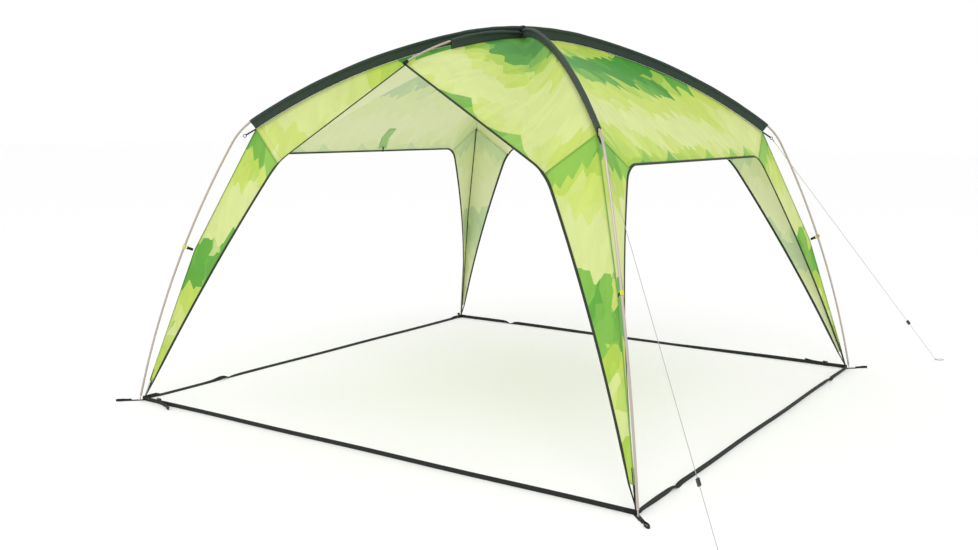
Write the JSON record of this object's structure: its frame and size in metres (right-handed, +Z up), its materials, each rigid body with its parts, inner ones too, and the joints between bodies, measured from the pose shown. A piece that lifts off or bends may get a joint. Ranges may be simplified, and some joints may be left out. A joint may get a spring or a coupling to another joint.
{
  "type": "tarp shelter",
  "caption": "Open-sided square shelter: crossed arch poles and a ridge pole in sleeves carry a leaf-printed canopy with tapering legs, tied by base webbing and guy-lines.",
  "frame": {"origin": "on the ground under the crown, at the centre of the square footprint", "axes": "+Z up, -Y out of the front gable opening, +X out of the right level opening"},
  "size_m": [4.0322, 4.437, 2.267],
  "materials": {
    "pole_tube": "satin anodised",
    "ferrule_metal": "satin",
    "tip_metal": "satin",
    "elastic_cord": "braided",
    "canopy_print": "coated woven polyester with a leaf print",
    "sleeve_cloth": "woven",
    "edge_tape": "woven tape",
    "black_webbing": "woven webbing",
    "base_webbing": "woven webbing",
    "clip_plastic": "moulded",
    "black_plastic": "moulded",
    "guy_cord": "braided",
    "patch_cloth": "woven"
  },
  "bodies": {
    "shelter": {"roof_poles_fl_rr": "pole_tube", "roof_poles_fr_rl": "pole_tube", "leg_pole_fl": "pole_tube", "leg_pole_fr": "pole_tube", "leg_pole_rr": "pole_tube", "leg_pole_rl": "pole_tube", "ridge_pole": "pole_tube", "pole_ferrules": "ferrule_metal", "pole_tips": "tip_metal", "ridge_pole_tips": "tip_metal", "shock_cords": "elastic_cord", "roof_panel_front": "canopy_print", "roof_panel_right": "canopy_print", "roof_panel_rear": "canopy_print", "roof_panel_left": "canopy_print", "leg_panels_fl": "canopy_print", "leg_panels_fr": "canopy_print", "leg_panels_rr": "canopy_print", "leg_panels_rl": "canopy_print", "pole_sleeve_fl": "sleeve_cloth", "pole_sleeve_fr": "sleeve_cloth", "pole_sleeve_rr": "sleeve_cloth", "pole_sleeve_rl": "sleeve_cloth", "ridge_sleeve_front": "sleeve_cloth", "ridge_sleeve_rear": "sleeve_cloth", "edge_binding_front": "edge_tape", "edge_binding_right": "edge_tape", "edge_binding_rear": "edge_tape", "edge_binding_left": "edge_tape", "crown_tie": "black_webbing", "ridge_pockets": "black_webbing", "leg_tabs": "black_webbing", "foot_straps": "black_webbing", "corner_tab_fl": "black_webbing", "corner_tab_fr": "black_webbing", "corner_tab_rr": "black_webbing", "corner_tab_rl": "black_webbing", "corner_grommets": "tip_metal", "base_strap_front": "base_webbing", "base_strap_right": "base_webbing", "base_strap_rear": "base_webbing", "base_strap_left": "base_webbing", "guy_rings": "black_webbing", "guy_line_fr": "guy_cord", "guy_line_rr": "guy_cord", "roof_patch": "patch_cloth"},
    "clip_fl": {"leg_clip_fl": "clip_plastic"},
    "clip_fr": {"leg_clip_fr": "clip_plastic"},
    "clip_rr": {"leg_clip_rr": "clip_plastic"},
    "clip_rl": {"leg_clip_rl": "clip_plastic"},
    "loop_fl": {"stake_loop_fl": "black_webbing"},
    "loop_fr": {"stake_loop_fr": "black_webbing"},
    "loop_rr": {"stake_loop_rr": "black_webbing"},
    "loop_rl": {"stake_loop_rl": "black_webbing"},
    "buckle_front": {"strap_buckle_front": "black_plastic"},
    "buckle_rear": {"strap_buckle_rear": "black_plastic"},
    "slider_fr": {"guy_slider_fr": "black_plastic"},
    "slider_rr": {"guy_slider_rr": "black_plastic"},
    "toggle": {"roof_toggle": "black_plastic"}
  },
  "joints": [
    {"name": "clip_fl_swing", "type": "hinge", "parent": "shelter", "child": "clip_fl", "pos_m": [-1.44228, -1.44228, 0.92205], "axis": [0.2677, 0.2677, 0.9255], "range_deg": [0, 100]},
    {"name": "clip_fr_swing", "type": "hinge", "parent": "shelter", "child": "clip_fr", "pos_m": [1.43784, -1.43784, 0.92195], "axis": [-0.271, 0.271, 0.9236], "range_deg": [0, 100]},
    {"name": "clip_rr_swing", "type": "hinge", "parent": "shelter", "child": "clip_rr", "pos_m": [1.44228, 1.44228, 0.92205], "axis": [-0.2677, -0.2677, 0.9255], "range_deg": [0, 100]},
    {"name": "clip_rl_swing", "type": "hinge", "parent": "shelter", "child": "clip_rl", "pos_m": [-1.43784, 1.43784, 0.92195], "axis": [0.271, -0.271, 0.9236], "range_deg": [0, 100]},
    {"name": "loop_fl_lift", "type": "hinge", "parent": "shelter", "child": "loop_fl", "pos_m": [-1.69543, -1.69543, 0.0024], "axis": [-0.7071, 0.7071, 0], "range_deg": [0, 90]},
    {"name": "loop_fr_lift", "type": "hinge", "parent": "shelter", "child": "loop_fr", "pos_m": [1.69543, -1.69543, 0.0024], "axis": [-0.7071, -0.7071, 0], "range_deg": [0, 90]},
    {"name": "loop_rr_lift", "type": "hinge", "parent": "shelter", "child": "loop_rr", "pos_m": [1.69543, 1.69543, 0.0024], "axis": [0.7071, -0.7071, 0], "range_deg": [0, 90]},
    {"name": "loop_rl_lift", "type": "hinge", "parent": "shelter", "child": "loop_rl", "pos_m": [-1.69543, 1.69543, 0.0024], "axis": [0.7071, 0.7071, 0], "range_deg": [0, 90]},
    {"name": "buckle_front_slide", "type": "slide", "parent": "shelter", "child": "buckle_front", "axis": [1, 0, 0], "range_m": [0, 0.25]},
    {"name": "buckle_rear_slide", "type": "slide", "parent": "shelter", "child": "buckle_rear", "axis": [-1, 0, 0], "range_m": [0, 0.25]},
    {"name": "slider_fr_slide", "type": "slide", "parent": "shelter", "child": "slider_fr", "axis": [-0.4923, 0.4131, 0.7662], "range_m": [0, 0.3]},
    {"name": "slider_rr_slide", "type": "slide", "parent": "shelter", "child": "slider_rr", "axis": [-0.4298, -0.5121, 0.7436], "range_m": [0, 0.3]},
    {"name": "toggle_swing", "type": "hinge", "parent": "shelter", "child": "toggle", "pos_m": [-1.1625, 0.04, 1.50367], "axis": [0, 1, 0], "range_deg": [-30, 30]}
  ]
}
